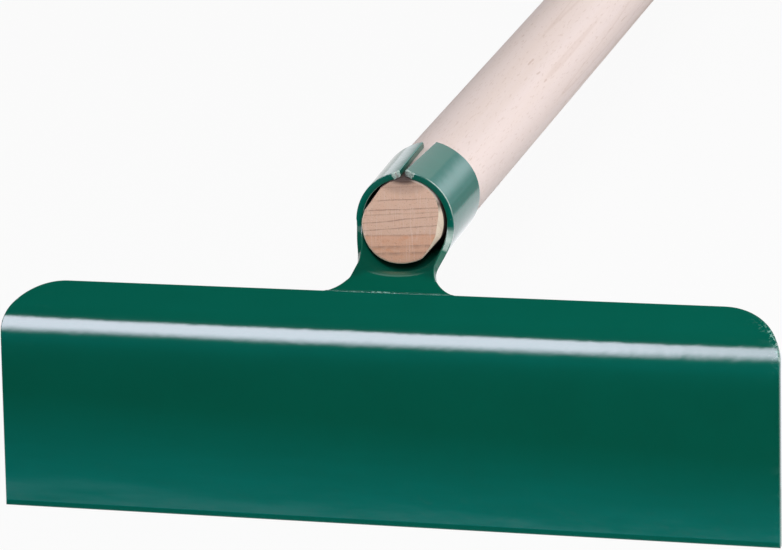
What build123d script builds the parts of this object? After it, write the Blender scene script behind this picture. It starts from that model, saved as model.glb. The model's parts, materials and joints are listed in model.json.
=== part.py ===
from build123d import *
import math
import os

# A manure scraper: a bent sheet blade, a rolled sheet socket welded to its top edge, and a beech handle.
# Everything is drawn with the blade's main face upright and facing -Y, X across the blade and Z up
# from the line where the main face starts to bend. At the end the tool is laid on the floor, on its
# scraping edge and the far end of the handle, with the origin in the middle of the scraping edge.

# Sheet of the blade and the socket.
sheet = 3.0

# Blade.
blade_width = 350.0
face_height = 75.3
bend_angle = 45.0
bend_radius = 21.2
band_height = 12.6
corner_radius = 26.8

# Handle. The tenon is the shaved end inside the socket, measured in from the full handle at the back rim.
handle_diameter = 41.0
handle_length = 1300.0
handle_pitch = 10.9
handle_end_rounding = 12.0
tenon_side_cut = 0.65
tenon_top_cut = 1.3
tenon_bottom_cut = 3.1
tenon_fit = 0.1
tenon_front_clearance = 0.7
shoulder_length = 15.0
end_setback = 0.2
end_bevel_length = 2.5
end_bevel_depth = 1.2

# Foot, neck and trough of the socket. The foot continues the blade's top band.
foot_length = 7.0
foot_fillet_radius = 14.2
foot_fillet_drop = 0.3
neck_width = 35.3
neck_bend_radius = 8.0
trough_length = 12.9

# Collar of the socket, between two upright rims. The front bore is narrower than the back one.
collar_length = 36.8
bore_taper = 1.5
seam_front_gap = 2.7
seam_back_gap = 8.0
seam_left_offset = 4.2

# Weld behind the joint of foot and blade.
bead_width = 5.0
bead_height = 1.4
bead_end_margin = 2.5

# Countersunk wood screw under the collar.
screw_diameter = 5.0
screw_head_diameter = 9.5
screw_length = 30.0
screw_tip_length = 6.0
screw_point_diameter = 1.2
screw_hole_clearance = 0.4
screw_slot_width = 1.2
screw_slot_depth = 1.1


def spot(y, z):
    """A point in the tool's middle plane, from its place behind the main face and its height."""
    return Vector(0, y, z)


def turned(direction):
    """Unit vector in the YZ plane at an angle above the level, in degrees."""
    angle = math.radians(direction)
    return Vector(0, math.cos(angle), math.sin(angle))


# The blade's front surface, followed upwards from the start of the bend.
bend_arc = bend_radius * math.radians(bend_angle)
band_slope = 90.0 - bend_angle
band_way = turned(band_slope)
band_back = turned(band_slope - 90.0)
bend_centre = spot(bend_radius, 0.0)
bend_end = bend_centre + turned(180.0 - bend_angle) * bend_radius
band_top = bend_end + band_way * band_height
developed_height = face_height + bend_arc + band_height


def front_surface(run):
    """Point of the blade's front surface, run millimetres up the sheet from its lower edge."""
    if run <= face_height:
        return spot(0.0, run - face_height)
    if run <= face_height + bend_arc:
        angle = 180.0 - math.degrees((run - face_height) / bend_radius)
        return bend_centre + turned(angle) * bend_radius
    return bend_end + band_way * (run - face_height - bend_arc)


# The socket's sheet, followed back from the weld: straight foot, bend to the level, trough, collar.
foot_end = band_top + band_way * foot_length
neck_pivot = foot_end - turned(band_slope + 90.0) * neck_bend_radius
neck_bend_arc = neck_bend_radius * math.radians(band_slope)
trough_height = neck_pivot.Z + neck_bend_radius
rim_distance = neck_pivot.Y + trough_length
back_distance = rim_distance + collar_length

# Upright cuts across the sloping handle are taller than wide.
axis_way = turned(handle_pitch)
axis_up = turned(handle_pitch + 90.0)
handle_radius = handle_diameter / 2
handle_half_height = handle_radius / math.cos(math.radians(handle_pitch))

# The back bore fits the tenon, and the handle's axis runs through the middle of the front bore.
tenon_half_width = handle_radius - tenon_side_cut
tenon_half_height = handle_half_height - (tenon_top_cut + tenon_bottom_cut) / 2
tenon_lift = (tenon_bottom_cut - tenon_top_cut) / 2
back_half_width = tenon_half_width + tenon_fit
back_half_height = tenon_half_height + tenon_fit
front_radius = back_half_width - bore_taper / 2
axis_rise = trough_height + front_radius


def axis_height(distance):
    """Height of the handle's axis at a distance behind the main face."""
    return axis_rise + (distance - rim_distance) * math.tan(math.radians(handle_pitch))


def upright(distance, height):
    """Upright plane across the handle, facing the front of the tool."""
    return Plane(origin=spot(distance, height), x_dir=(1, 0, 0), z_dir=(0, -1, 0))


def tapered(rounds):
    """Solid through upright rounds, each given as distance, lift above the axis, half width and half height."""
    faces = []
    for distance, lift, half_width, half_height in rounds:
        plane = upright(distance, axis_height(distance) + lift)
        faces.append(plane * Ellipse(half_width, half_height))
    return loft(faces, ruled=True)


def collar_round(wall):
    """Solid of the collar's bore, grown all round by a wall."""
    return tapered([
        (rim_distance, 0.0, front_radius + wall, front_radius + wall),
        (back_distance, tenon_lift, back_half_width + wall, back_half_height + wall),
    ])


# The tool lies on the floor, which touches the scraping edge and the handle's far end.
end_distance = rim_distance + end_setback
handle_start = spot(end_distance, axis_height(end_distance))
end_core = handle_start + axis_way * (handle_length - handle_end_rounding)
end_core = end_core - axis_up * (handle_radius - handle_end_rounding)
edge_front = spot(0.0, -face_height)
reach = end_core - edge_front
floor_pitch = math.degrees(math.atan2(reach.Z, reach.Y) - math.asin(handle_end_rounding / reach.length))
floor_slope = math.tan(math.radians(floor_pitch))
edge_back = spot(sheet, edge_front.Z + sheet * floor_slope)
edge_middle = (edge_front + edge_back) * 0.5


def laid(shape):
    """The shape moved from the drawing's position to where it lies on the floor."""
    return Rot(-floor_pitch, 0, 0) * Pos(-edge_middle) * shape


def make_blade():
    inner_start = spot(sheet, 0.0)
    inner_middle = bend_centre + turned(180.0 - bend_angle / 2) * (bend_radius - sheet)
    outer_middle = bend_centre + turned(180.0 - bend_angle / 2) * bend_radius
    inner_end = bend_end + band_back * sheet
    outline = Wire([
        Edge.make_line(edge_front, spot(0.0, 0.0)),
        Edge.make_three_point_arc(spot(0.0, 0.0), outer_middle, bend_end),
        Edge.make_line(bend_end, band_top),
        Edge.make_line(band_top, band_top + band_back * sheet),
        Edge.make_line(band_top + band_back * sheet, inner_end),
        Edge.make_three_point_arc(inner_end, inner_middle, inner_start),
        Edge.make_line(inner_start, edge_back),
        Edge.make_line(edge_back, edge_front),
    ])
    half = blade_width / 2
    body = extrude(Face(outline), amount=half, dir=(1, 0, 0), both=True)
    return body - corner_waste(1) - corner_waste(-1)


def corner_waste(side):
    """What the rounded top corner takes off, cut square to the top band."""
    plane = Plane(origin=band_top, x_dir=(side, 0, 0), z_dir=band_back * side)
    half = blade_width / 2
    steps = 8
    curve = []
    for step in range(steps + 1):
        angle = math.radians(90.0 - 90.0 * step / steps)
        run = developed_height - corner_radius + corner_radius * math.sin(angle)
        across = half - corner_radius + corner_radius * math.cos(angle)
        along = (front_surface(run) - band_top).dot(band_way)
        curve.append((across, -along))
    margin = sheet
    low = curve[-1][1]
    edge = Spline(curve, tangents=[(1, 0), (0, 1)])
    rest = Polyline(curve[-1], (half + margin, low), (half + margin, -margin), (curve[0][0], -margin), curve[0])
    depth = bend_radius + sheet
    return extrude(plane * make_face([edge, rest]), amount=depth, both=True)


def sheet_section(point, slope, half_width, rise):
    """Closed outline of the socket's sheet across its path: an arc that rises at both sides."""
    plane = Plane(origin=point, x_dir=(1, 0, 0), z_dir=-turned(slope))
    radius = (half_width ** 2 + rise ** 2) / (2 * rise)
    angle = math.degrees(2 * math.atan2(rise, half_width))
    start = 270.0 - angle
    inner_arc = CenterArc((0, radius), radius, start, 2 * angle)
    outer_arc = CenterArc((0, radius), radius + sheet, start, 2 * angle)
    left_edge = Line(inner_arc @ 0, outer_arc @ 0)
    right_edge = Line(inner_arc @ 1, outer_arc @ 1)
    return plane * make_face([inner_arc, right_edge, outer_arc, left_edge])


def foot_half_width(run):
    """Half of the socket's width where its sides are flat, run millimetres up the sheet from the weld."""
    drop = max(foot_fillet_radius - foot_fillet_drop - run, 0.0)
    return neck_width / 2 + foot_fillet_radius - math.sqrt(foot_fillet_radius ** 2 - drop ** 2)


def make_trough():
    """Foot, neck and trough. From the end of the foot the side walls rise in a parabola to the front rim."""
    wall_length = rim_distance - foot_end.Y
    least_rise = 0.02
    sections = []

    def add(point, slope, run):
        part = min(max((point.Y - foot_end.Y) / wall_length, 0.0), 1.0)
        share = 1.0 - math.sqrt(1.0 - part)
        half_width = foot_half_width(run) + (front_radius - neck_width / 2) * share ** 2
        sections.append(sheet_section(point, slope, half_width, max(front_radius * share, least_rise)))

    foot_steps = 5
    for step in range(foot_steps + 1):
        run = foot_length * (1.0 - math.cos(math.radians(90.0 * step / foot_steps)))
        add(band_top + band_way * run, band_slope, run)
    bend_steps = 4
    for step in range(1, bend_steps + 1):
        slope = band_slope * (1 - step / bend_steps)
        point = neck_pivot + turned(slope + 90.0) * neck_bend_radius
        add(point, slope, foot_length + neck_bend_arc * step / bend_steps)
    wall_steps = 9
    first = 1.0 - math.sqrt(trough_length / wall_length)
    for step in range(1, wall_steps + 1):
        share = first + (1.0 - first) * step / wall_steps
        distance = rim_distance - wall_length * (1.0 - share) ** 2
        add(spot(distance, trough_height), 0.0, foot_length + neck_bend_arc + distance - neck_pivot.Y)
    return loft(sections, ruled=True)


def make_seam():
    """Open seam along the top of the collar, wider at the back."""
    margin = sheet
    lean = (seam_back_gap - seam_front_gap) / collar_length * margin
    outline = Polyline(
        (-seam_left_offset, rim_distance - margin),
        (-seam_left_offset + seam_front_gap - lean, rim_distance - margin),
        (-seam_left_offset + seam_back_gap + lean, back_distance + margin),
        (-seam_left_offset, back_distance + margin),
        close=True,
    )
    height = axis_height(back_distance) - axis_rise + 2 * (back_half_height + sheet)
    return extrude(Pos(0, 0, axis_rise) * make_face(outline), amount=height)


def make_socket():
    collar = collar_round(sheet) - collar_round(0.0) - make_seam()
    return make_trough() + collar - screw_place() * screw_hole()


def make_bead():
    """Weld bead along the back of the joint, with a rounded top."""
    half_length = foot_half_width(0.0) - bead_end_margin
    plane = Plane(origin=band_top + band_back * sheet, x_dir=band_way, z_dir=(-1, 0, 0))
    half = bead_width / 2
    top = ThreePointArc((-half, 0), (0, bead_height), (half, 0))
    base = Line((half, 0), (-half, 0))
    return extrude(plane * make_face([top, base]), amount=half_length, both=True)


def make_handle():
    stick_start = handle_start - axis_way * handle_diameter
    stick = Plane(origin=stick_start, z_dir=axis_way) * Cylinder(
        handle_radius, handle_length + handle_diameter, align=(Align.CENTER, Align.CENTER, Align.MIN))
    far_edge = stick.edges().filter_by(GeomType.CIRCLE).sort_by(Axis.Y)[-1]
    stick = fillet(far_edge, handle_end_rounding)
    shoulder = back_distance + shoulder_length
    front = front_radius - tenon_front_clearance
    end = front - end_bevel_depth
    full = handle_half_height + tenon_fit
    taper = tapered([
        (end_distance, 0.0, end, end),
        (end_distance + end_bevel_length, 0.0, front, front),
        (back_distance, tenon_lift, tenon_half_width, tenon_half_height),
        (shoulder, 0.0, full, full),
    ])
    room = 4 * handle_diameter
    depth = shoulder - end_distance + room
    waste = Pos(0, shoulder - depth / 2, axis_height(shoulder)) * Box(room, depth, room) - taper
    return stick - waste - screw_place() * screw_shank()


def screw_place():
    """Where the screw enters the collar from below, with its own Z pointing into the handle."""
    front_low = trough_height
    back_low = axis_height(back_distance) + tenon_lift - back_half_height
    slope = math.degrees(math.atan2(back_low - front_low, collar_length))
    outer_radius = (front_radius + back_half_width) / 2 + sheet
    sink = outer_radius - math.sqrt(outer_radius ** 2 - (screw_head_diameter / 2) ** 2)
    bottom = spot((rim_distance + back_distance) / 2, (front_low + back_low) / 2 - sheet)
    inward = turned(slope + 90.0)
    return Plane(origin=bottom + inward * sink, x_dir=(1, 0, 0), z_dir=inward).location


def screw_head():
    """Countersunk head, flat side at its own Z of zero."""
    height = (screw_head_diameter - screw_diameter) / 2
    return Pos(0, 0, height / 2) * Cone(screw_head_diameter / 2, screw_diameter / 2, height)


def screw_shank():
    """Shank with its tip, from the flat side of the head to the point."""
    straight = screw_length - screw_tip_length
    body = Pos(0, 0, straight / 2) * Cylinder(screw_diameter / 2, straight)
    tip = Cone(screw_diameter / 2, screw_point_diameter / 2, screw_tip_length)
    return body + Pos(0, 0, straight + screw_tip_length / 2) * tip


def screw_hole():
    """Countersunk hole through the collar's wall."""
    depth = 3 * sheet
    opening = Pos(0, 0, -depth / 2) * Cylinder(screw_head_diameter / 2, depth)
    passage = Pos(0, 0, depth / 2) * Cylinder((screw_diameter + screw_hole_clearance) / 2, depth)
    return screw_head() + opening + passage


def make_screw():
    slot = Pos(0, 0, screw_slot_depth / 2) * Box(screw_head_diameter, screw_slot_width, screw_slot_depth)
    return screw_place() * (screw_head() + screw_shank() - slot)


nodes = {
    "blade": make_blade(),
    "socket": make_socket(),
    "weld_bead": make_bead(),
    "handle": make_handle(),
    "fixing_screw": make_screw(),
}

os.makedirs("parts", exist_ok=True)
for name, shape in nodes.items():
    export_step(laid(shape), "parts/" + name + ".step")
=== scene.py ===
"""A manure scraper: a bent steel blade, a rolled socket welded to it, a beech handle and a fixing screw.

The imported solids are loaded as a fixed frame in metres. Every piece is drawn with the blade's main face
upright, X across the blade, and is then laid on the floor in the same way as the solids.
"""
import json
import math

import bmesh
import bpy
from bpy.props import FloatProperty, FloatVectorProperty, PointerProperty
from mathutils import Euler, Matrix, Vector, geometry, kdtree, noise


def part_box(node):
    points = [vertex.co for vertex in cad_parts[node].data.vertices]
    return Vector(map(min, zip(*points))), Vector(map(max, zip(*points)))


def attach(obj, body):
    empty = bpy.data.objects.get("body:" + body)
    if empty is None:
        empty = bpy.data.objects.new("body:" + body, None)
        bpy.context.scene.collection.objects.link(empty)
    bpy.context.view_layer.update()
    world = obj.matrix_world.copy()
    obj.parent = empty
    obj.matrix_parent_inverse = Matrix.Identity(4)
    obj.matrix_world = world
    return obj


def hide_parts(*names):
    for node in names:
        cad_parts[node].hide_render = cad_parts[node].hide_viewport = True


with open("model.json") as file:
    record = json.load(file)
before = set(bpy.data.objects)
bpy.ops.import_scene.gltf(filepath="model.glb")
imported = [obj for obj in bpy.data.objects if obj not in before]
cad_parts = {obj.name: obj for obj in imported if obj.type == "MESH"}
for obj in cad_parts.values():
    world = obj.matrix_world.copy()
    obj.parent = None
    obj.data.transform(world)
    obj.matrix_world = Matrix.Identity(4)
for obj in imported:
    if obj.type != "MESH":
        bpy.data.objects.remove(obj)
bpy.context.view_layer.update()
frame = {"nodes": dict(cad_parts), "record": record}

bl_info = {
    "name": "Manure Scraper",
    "version": (1, 0, 0),
    "blender": (4, 5, 0),
    "location": "3D View > Sidebar > Scraper",
    "description": "Builds a painted manure scraper with a beech handle around its packed solids",
    "category": "Object",
}

BLADE_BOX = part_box("blade")
MM = 0.001
QUARTER = math.pi / 2

# Places on a sheet that lie closer than this count as one.
TOUCHING = 0.1 * MM

# Rounding of sheet edges that the weld fills, and depth of the rim's corners where a highlight and a
# reflection of the wood are painted.
WELDED_ROUNDING = 0.15 * MM
RIM_CORNER = 0.3 * MM

# Points round the handle.
AROUND = 96

# Growth lines of the sawn end: height and width in millimetres, strength and slope.
# The wood is redder below the seventh of them.
GROWTH_LINES = (
    (15.8, 0.7, 0.35, 0.046), (10.5, 0.7, 0.62, 0.052), (6.4, 0.8, 0.72, 0.056), (4.5, 0.7, 0.42, 0.060),
    (2.1, 0.7, 0.74, 0.112), (-1.4, 0.7, 0.76, 0.090), (-4.4, 1.2, 0.45, 0.042), (-9.0, 1.9, 0.58, 0.050),
    (-11.9, 1.9, 0.58, 0.050))
RED_GROWTH_TOP, _, _, RED_GROWTH_SLOPE = GROWTH_LINES[6]

grip = next(mount for mount in frame["record"]["mounts"] if mount["name"] == "handle_grip")
GRIP_DROP = math.asin(-grip["axis"][2])


def length(name, description, millimetres):
    return FloatProperty(name=name, description=description, default=millimetres * MM, unit="LENGTH")


def angle(name, description, degrees):
    return FloatProperty(name=name, description=description, default=math.radians(degrees), subtype="ANGLE")


def share(name, description, default):
    return FloatProperty(
        name=name, description=description, default=default, min=0.0, max=1.0, subtype="FACTOR")


def level(name, description, default):
    return FloatProperty(name=name, description=description, default=default, min=0.0)


def power(name, description, watts):
    return FloatProperty(name=name, description=description, default=watts, min=0.0, unit="POWER")


def colour(name, description, red, green, blue):
    return FloatVectorProperty(
        name=name, description=description, default=(red, green, blue), min=0.0, max=1.0, subtype="COLOR")


class BladeSettings(bpy.types.PropertyGroup):
    """Sizes of the bent blade."""
    sheet: length("Sheet", "Thickness of the blade and the socket", 3.0)
    width: length("Width", "Length of the scraping edge", (BLADE_BOX[1] - BLADE_BOX[0]).x / MM)
    face_height: length("Face height", "Height of the flat main face", 75.3)
    bend_angle: angle("Bend angle", "How far the top band leans back from the main face", 45.0)
    bend_radius: length("Bend radius", "Radius of the bend on its front", 21.2)
    band_height: length("Band height", "Height of the flat band above the bend", 12.6)
    corner_radius: length("Corner radius", "Radius of the two upper corners", 26.8)
    paint_roll_height: length("Paint roll height", "Height of the thick paint along the scraping edge", 2.6)
    paint_roll_depth: length("Paint roll depth", "How far the thick paint stands out of the main face", 0.12)
    edge_rounding: length("Edge rounding", "Rounding of the sheared edges", 0.5)


class SocketSettings(bpy.types.PropertyGroup):
    """Sizes of the rolled socket."""
    foot_length: length("Foot length", "Flat part between the weld and the neck's bend", 7.0)
    foot_fillet_radius: length("Foot fillet", "Radius where the neck widens to its foot", 17.0)
    foot_fillet_drop: length("Foot fillet drop", "How far the fillet stops short of its tangent", 0.9)
    neck_width: length("Neck width", "Width of the neck", 34.5)
    neck_bend_radius: length("Neck bend radius", "Radius of the bend into the trough", 8.0)
    trough_length: length("Trough length", "Part between the crest of the neck's bend and the collar", 12.9)
    trough_fall: angle("Trough fall", "How far the trough falls from its crest to the collar", 11.0)
    collar_length: length("Collar length", "Length of the closed collar", 36.8)
    bore_taper: length("Bore taper", "How much narrower the bore is at its front", 1.5)
    seam_front_gap: length("Seam front gap", "Opening of the seam at the front rim", 2.2)
    seam_back_gap: length("Seam back gap", "Opening of the seam at the back rim", 5.5)
    left_lip_front: length("Left lip front", "How far left of the middle the left lip starts", 2.5)
    left_lip_back: length("Left lip back", "How far left of the middle the left lip ends", 3.3)
    left_cut_width: length("Left cut width", "Width of the seam's cut-off left front corner", 1.9)
    right_cut_width: length("Right cut width", "Width of the seam's cut-off right front corner", 4.4)
    lip_point_width: length("Lip point width", "Width of the drawn-out back corners of the seam", 12.0)
    lip_point_length: length("Lip point length", "Length of the drawn-out back corners of the seam", 2.1)
    lip_cut_length: length("Lip cut length", "Length of the cut-off front corners of the seam", 2.3)
    rim_rounding: length("Rim rounding", "Rounding of the collar's front rim", 0.3)
    screw_hole: length("Screw hole", "Radius of the hole for the screw's head", 4.9)


class HandleSettings(bpy.types.PropertyGroup):
    """Sizes of the beech handle."""
    radius: length("Radius", "Radius of the handle", grip["dims"]["r_mm"])
    full_length: length("Length", "Length of the handle", 1300.0)
    pitch: angle("Pitch", "How far the handle rises from the blade's main face", 10.9)
    end_rounding: length("End rounding", "Rounding of the far end", 12.0)
    tenon_side_cut: length("Tenon side cut", "Wood shaved off each side in the socket", 0.65)
    tenon_top_cut: length("Tenon top cut", "Wood shaved off the top in the socket", 1.3)
    tenon_bottom_cut: length("Tenon bottom cut", "Wood shaved off the underside in the socket", 3.1)
    tenon_fit: length("Tenon fit", "Play between the tenon and the socket", 0.1)
    shoulder_length: length("Shoulder length", "Length of the slope from the tenon to the full handle", 15.0)
    end_setback: length("End setback", "How far the handle's measured end lies behind the front rim", 0.2)
    end_half_width: length("End half width", "Half width of the sawn end", 18.2)
    end_half_height: length("End half height", "Half height of the sawn end", 18.1)
    end_lift: length("End lift", "How far the sawn end sits above the middle of the bore", 0.65)
    end_shift: length("End shift", "How far the sawn end sits left of the middle of the bore", 0.75)
    end_reach: length("End reach", "How far the middle of the sawn end stands out of its measured place", 1.7)
    end_lean: length("End lean", "How far the top of the sawn end lies behind its bottom", 2.1)
    end_skew: length("End skew", "How far the right of the sawn end lies behind its left", 1.2)
    facet_distance: length("Facet distance", "Distance of the deepest whittled flat from the middle", 16.45)
    chamfer_distance: length("Chamfer distance", "Distance of the lower right flat from the middle", 17.2)


class WeldSettings(bpy.types.PropertyGroup):
    """Sizes of the weld between the blade and the socket."""
    bead_width: length("Bead width", "Width of the weld behind the joint", 5.0)
    bead_height: length("Bead height", "Height of the weld behind the joint", 1.4)
    end_margin: length("End margin", "Length without weld at each end of the foot", 2.5)
    ripple: length("Ripple", "Distance between two ripples of the weld", 2.1)
    ground_width: length("Ground width", "Width of the weld ground flush at the front", 0.8)
    ground_height: length("Ground height", "What is left of the weld above the front", 0.10)


class FinishSettings(bpy.types.PropertyGroup):
    """Colours of paint, wood, zinc and floor."""
    paint: colour("Paint", "Green paint", 0.0003, 0.095, 0.0605)
    paint_deep: colour("Deep paint", "Green paint where it lies thick", 0.0002, 0.091, 0.0575)
    # Paler green: on the blade a painted reflection of the floor, a painted glow under the bend's highlight
    # and painted light on the band; on the collar's outside a paler paint.
    paint_dusty: colour("Dusty paint", "Green paint above the scraping edge", 0.0015, 0.162, 0.136)
    # Pale painted reflection of the floor near the blade's scraping edge.
    floor_sheen: colour("Pale film", "Pale film on the dustiest paint", 0.035, 0.19, 0.175)
    paint_rubbed: colour("Rubbed paint", "Green paint where it is scuffed", 0.10, 0.30, 0.26)
    # Near-black green of the painted shade inside the socket, where the paint is also dull.
    inside_shade: colour("Paint inside", "Thin dull paint inside the socket", 0.0003, 0.015, 0.010)
    nicked: colour("Nicked", "Pale green where the paint is nicked", 0.30, 0.60, 0.52)
    chipped: colour("Chipped", "Pale grey green where the paint is chipped", 0.46, 0.56, 0.52)
    chipped_dark: colour("Dark chips", "Grey green in the middle of chips", 0.13, 0.24, 0.21)
    bare_steel: colour("Bare steel", "Steel that shows in the middle of deep chips", 0.30, 0.30, 0.29)
    beech: colour("Beech", "Planed beech", 0.79, 0.665, 0.635)
    beech_warm: colour("Warm beech", "Darker growth of the planed beech", 0.75, 0.615, 0.555)
    beech_fleck: colour("Beech fleck", "Short brown flecks of the planed beech", 0.52, 0.36, 0.29)
    beech_cut: colour("Whittled beech", "Freshly whittled beech", 0.79, 0.66, 0.52)
    # Colour of the painted shade on the wood: inside the socket, at the top of the sawn end and faint above
    # the socket.
    beech_stain: colour("Stain", "Dark stain of the wood, faint above the socket", 0.040, 0.020, 0.016)
    end_grain: colour("End grain", "Sawn end of the beech", 0.66, 0.46, 0.365)
    end_grain_red: colour("Red end grain", "Redder growth of the sawn end", 0.645, 0.33, 0.205)
    end_grain_line: colour("Growth line", "Growth lines of the sawn end", 0.27, 0.15, 0.105)
    zinc: colour("Zinc", "Zinc plating of the screw", 0.62, 0.62, 0.60)
    zinc_dull: colour("Dull zinc", "Dull patches of the zinc plating", 0.40, 0.41, 0.40)
    floor: colour("Floor", "Pale studio floor", 0.55, 0.55, 0.55)


class StageSettings(bpy.types.PropertyGroup):
    """Camera and lights."""
    focal_length: FloatProperty(
        name="Focal length", description="Focal length of the camera", default=207.22, unit="CAMERA")
    camera_place: FloatVectorProperty(
        name="Camera place", description="Where the camera stands", default=(0.600821, -1.613926, 0.887045),
        subtype="TRANSLATION")
    camera_turn: FloatVectorProperty(
        name="Camera turn", description="How the camera is turned", subtype="EULER",
        default=(math.radians(65.76192), math.radians(5.67659), math.radians(17.3738)))
    softbox_strength: level("Softbox strength", "Brightness of the softbox, where 1 shows white", 13.9)
    edge_strength: level("Edge strength", "Brightness of the panel that the sheared edges mirror", 9.0)
    streak_strength: level("Streak strength", "Brightness of the panel that the collar mirrors", 2.35)
    key_power: power("Key power", "Power of the lamp above the front", 18.5)
    back_power: power("Back power", "Power of the lamp above the back", 6.0)
    surroundings: share("Surroundings", "Light that the pale room throws on the tool", 0.36)


class ScraperSettings(bpy.types.PropertyGroup):
    """All settings of the scraper."""
    blade: PointerProperty(type=BladeSettings)
    socket: PointerProperty(type=SocketSettings)
    handle: PointerProperty(type=HandleSettings)
    weld: PointerProperty(type=WeldSettings)
    finish: PointerProperty(type=FinishSettings)
    stage: PointerProperty(type=StageSettings)


def turned(direction):
    """Unit vector in the side view: 0 points back, a quarter turn points up."""
    return Vector((0.0, math.cos(direction), math.sin(direction)))


def between(first, second, part):
    return first + (second - first) * part


def parts(count):
    """Even steps from 0 to 1, with both ends."""
    return [index / count for index in range(count + 1)]


def smooth_step(value, low, high):
    """Rises smoothly from 0 at low to 1 at high."""
    part = min(max((value - low) / (high - low), 0.0), 1.0)
    return part * part * (3.0 - 2.0 * part)


def bell(offset):
    """1 at an offset of 0, falling off to 0 on both sides."""
    return math.exp(-offset * offset)


class ToolShape:
    """Where the sheets and the handle run, with the blade's main face upright and facing -Y."""

    def __init__(self, settings):
        self.blade = settings.blade
        self.socket = settings.socket
        self.handle = settings.handle
        blade, socket, handle = self.blade, self.socket, self.handle
        self.sheet = blade.sheet
        self.band_slope = QUARTER - blade.bend_angle
        self.bend_arc = blade.bend_radius * blade.bend_angle
        self.blade_height = blade.face_height + self.bend_arc + blade.band_height
        self.band_way = turned(self.band_slope)
        self.band_back = turned(self.band_slope - QUARTER)
        bend_pivot = Vector((0.0, blade.bend_radius, 0.0))
        bend_end = bend_pivot + turned(math.pi - blade.bend_angle) * blade.bend_radius
        self.band_top = bend_end + self.band_way * blade.band_height
        foot_end = self.band_top + self.band_way * socket.foot_length
        self.wall_start = foot_end.y
        self.neck_pivot = foot_end - turned(self.band_slope + QUARTER) * socket.neck_bend_radius
        self.neck_arc = socket.neck_bend_radius * (self.band_slope + socket.trough_fall)
        self.trough_height = self.neck_pivot.z + socket.neck_bend_radius
        self.rim = self.neck_pivot.y + socket.trough_length
        self.back = self.rim + socket.collar_length
        self.fall_start = self.neck_pivot + turned(QUARTER - socket.trough_fall) * socket.neck_bend_radius
        fall_length = (self.rim - self.fall_start.y) / math.cos(socket.trough_fall)
        self.rim_run = socket.foot_length + self.neck_arc + fall_length
        self.back_run = self.rim_run + socket.collar_length
        self.half_height = handle.radius / math.cos(handle.pitch)
        self.tenon_half_width = handle.radius - handle.tenon_side_cut
        self.tenon_half_height = self.half_height - (handle.tenon_top_cut + handle.tenon_bottom_cut) / 2
        self.tenon_lift = (handle.tenon_bottom_cut - handle.tenon_top_cut) / 2
        self.back_half_width = self.tenon_half_width + handle.tenon_fit
        self.back_half_height = self.tenon_half_height + handle.tenon_fit
        self.front_radius = self.back_half_width - socket.bore_taper / 2
        self.end = self.rim + handle.end_setback
        floor_pitch = handle.pitch + GRIP_DROP
        self.floor_slope = math.tan(floor_pitch)
        edge_middle = Vector((0.0, self.sheet / 2, self.sheet / 2 * self.floor_slope - blade.face_height))
        self.laid = Matrix.Rotation(-floor_pitch, 4, "X") @ Matrix.Translation(-edge_middle)

    def axis_height(self, distance):
        """Height of the handle's axis at a distance back."""
        rise = (distance - self.rim) * math.tan(self.handle.pitch)
        return self.trough_height + self.front_radius + rise

    def blade_middle(self, across, run):
        """Point halfway through the blade's sheet, run up the sheet from the scraping edge."""
        blade = self.blade
        depth = self.sheet / 2
        above = run - blade.face_height
        if above <= 0.0:
            return Vector((across, depth, above))
        bend = min(above / blade.bend_radius, blade.bend_angle)
        radius = blade.bend_radius - depth
        point = Vector((across, blade.bend_radius, 0.0)) + turned(math.pi - bend) * radius
        return point + self.band_way * max(above - self.bend_arc, 0.0)

    def socket_path(self, run):
        """Point in the middle of the socket's upper surface, run up from the weld, and the slope there."""
        socket = self.socket
        if run <= socket.foot_length:
            return self.band_top + self.band_way * run, self.band_slope
        slope = self.band_slope - (run - socket.foot_length) / socket.neck_bend_radius
        if slope >= -socket.trough_fall:
            return self.neck_pivot + turned(slope + QUARTER) * socket.neck_bend_radius, slope
        fallen = run - socket.foot_length - self.neck_arc
        return self.fall_start + turned(-socket.trough_fall) * fallen, -socket.trough_fall

    def trough_arc(self, run):
        """Radius of the trough's inside, the angle from its middle to its edge, and its stretch downwards.

        The neck keeps its width for most of its length and widens to the collar at its end. The stretch
        keeps the walls at their height where the floor of the trough falls.
        """
        least_rise = 0.01 * MM
        socket = self.socket
        drop = max(socket.foot_fillet_radius - socket.foot_fillet_drop - max(run, 0.0), 0.0)
        fillet = socket.foot_fillet_radius - math.sqrt(socket.foot_fillet_radius ** 2 - drop ** 2)
        point, slope = self.socket_path(run)
        part = (point.y - self.wall_start) / (self.rim - self.wall_start)
        part = min(max(part, 0.0), 1.0)
        widening = part ** 6 * (7.0 - 6.0 * part)
        half_width = between(socket.neck_width / 2, self.front_radius, widening) + fillet
        rise = max(self.front_radius * (1.0 - math.sqrt(1.0 - part)), least_rise)
        stretch = 1.0 + (self.trough_height - point.z) / rise if slope < 0.0 else 1.0
        return (half_width ** 2 + rise ** 2) / (2 * rise), 2 * math.atan2(rise, half_width), stretch

    def trough_half(self, run):
        """Half of the unrolled width of the trough."""
        radius, edge_angle, _ = self.trough_arc(run)
        return (radius + self.sheet / 2) * edge_angle

    def collar_round(self, run):
        """Half width, half height and height of the middle of the collar's bore."""
        part = (run - self.rim_run) / self.socket.collar_length
        half_width = between(self.front_radius, self.back_half_width, part)
        half_height = between(self.front_radius, self.back_half_height, part)
        back_middle = self.axis_height(self.back) + self.tenon_lift
        return half_width, half_height, between(self.axis_height(self.rim), back_middle, part)

    def seam_edge(self, run, side):
        """Unrolled distance of a seam lip from the socket's middle: side -1 is left, 1 is right."""
        socket = self.socket
        part = (run - self.rim_run) / socket.collar_length
        lip = between(socket.left_lip_front, socket.left_lip_back, part)
        if side > 0:
            lip = between(socket.seam_front_gap, socket.seam_back_gap, part) - lip
        half_width = self.collar_round(run)[0] + self.sheet / 2
        return side * (math.pi - math.asin(lip / half_width)) * (self.front_radius + self.sheet / 2)

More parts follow.
